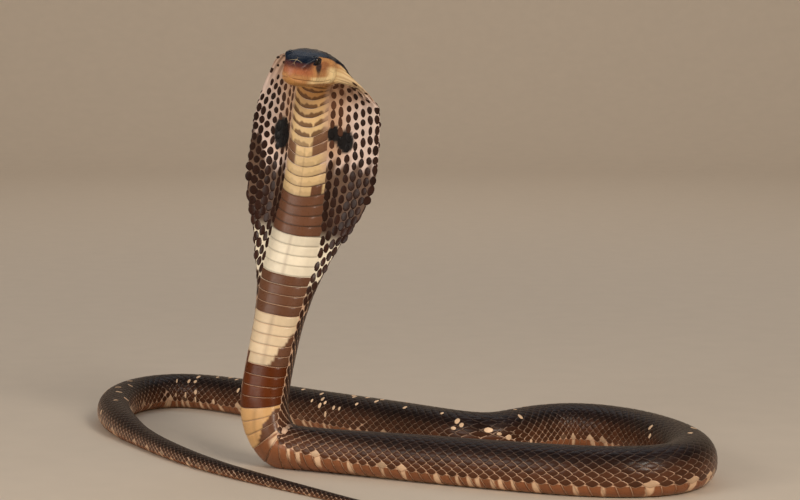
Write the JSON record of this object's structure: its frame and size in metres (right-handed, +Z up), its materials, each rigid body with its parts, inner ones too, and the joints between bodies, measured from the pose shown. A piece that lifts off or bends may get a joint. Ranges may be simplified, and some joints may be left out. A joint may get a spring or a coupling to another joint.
{
  "type": "spectacled cobra model",
  "caption": "Life-size still model of a spectacled cobra, reared with its hood spread over a trunk that lies on the floor in a wide loop with two turns and a tapering tail.",
  "frame": {"origin": "centre of the rectangle that the animal covers on the floor, at floor level", "axes": "+Z up from the floor; the animal faces -Y, and +X is to the right of a viewer whom it faces"},
  "size_m": [0.4064, 0.4216, 0.2618],
  "materials": {
    "crown": "smooth head shields, dark brown, satin to glossy",
    "jaw": "smooth tan and cream lip and chin shields, satin",
    "hood": "cream and pinkish skin under dark brown scales, satin",
    "neck": "broad belly scutes banded cream and brown, satin",
    "trunk": "smooth dark brown scales with pale outlines, glossy",
    "tail": "smooth dark scales with pale edges, satin",
    "eye": "near-black, polished"
  },
  "bodies": {
    "root": {"head": "crown", "lower_jaw": "jaw", "eye_left": "eye", "eye_right": "eye", "nape": "hood", "hood": "hood", "neck": "neck", "neck_base": "neck", "trunk_front": "trunk", "trunk_right_turn_near": "trunk", "trunk_right_turn_far": "trunk", "trunk_middle": "trunk", "trunk_far": "trunk", "trunk_rear": "trunk", "trunk_left_turn_far": "trunk", "trunk_left_turn_near": "trunk", "trunk_end": "trunk", "tail_root": "tail", "tail_middle": "tail", "tail_tip": "tail"}
  },
  "joints": []
}
